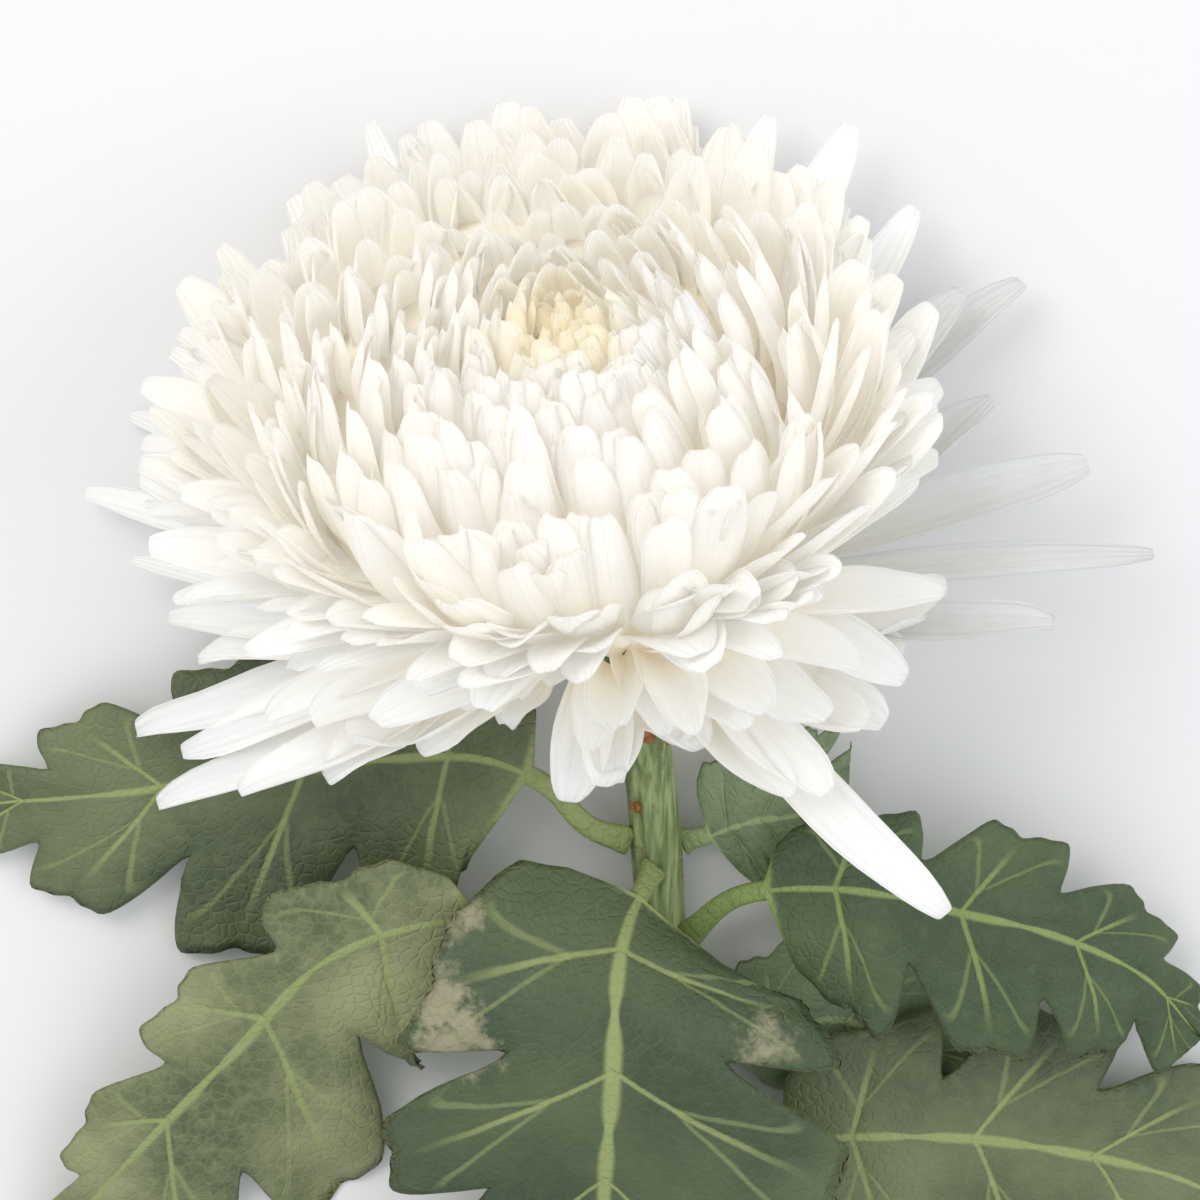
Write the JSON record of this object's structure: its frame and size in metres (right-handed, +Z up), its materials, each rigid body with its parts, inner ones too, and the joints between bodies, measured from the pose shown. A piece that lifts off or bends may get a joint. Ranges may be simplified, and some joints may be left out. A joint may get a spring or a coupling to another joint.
{
  "type": "double chrysanthemum",
  "caption": "Cut white double chrysanthemum lying on a surface: dense incurving bloom with stray outer florets on a ribbed, leafy stem.",
  "frame": {"origin": "on the surface that the flower lies on, at a flat spot of the florets pressed against it under the bloom", "axes": "+Z up from the surface, +Y from the cut end of the stem towards the bloom, +X to the right seen from above"},
  "size_m": [0.2051, 0.351, 0.0909],
  "materials": {
    "petal": "matte",
    "bract": "matte",
    "stem": "satin",
    "leaf": "satin"
  },
  "bodies": {
    "root": {"bloom": "petal", "involucre": "bract", "stem": "stem", "leaf_1": "leaf", "leaf_2": "leaf", "leaf_3": "leaf", "leaf_4": "leaf", "leaf_5": "leaf", "leaf_6": "leaf", "leaf_7": "leaf", "leaf_8": "leaf", "leaf_9": "leaf", "leaf_10": "leaf"}
  },
  "joints": []
}
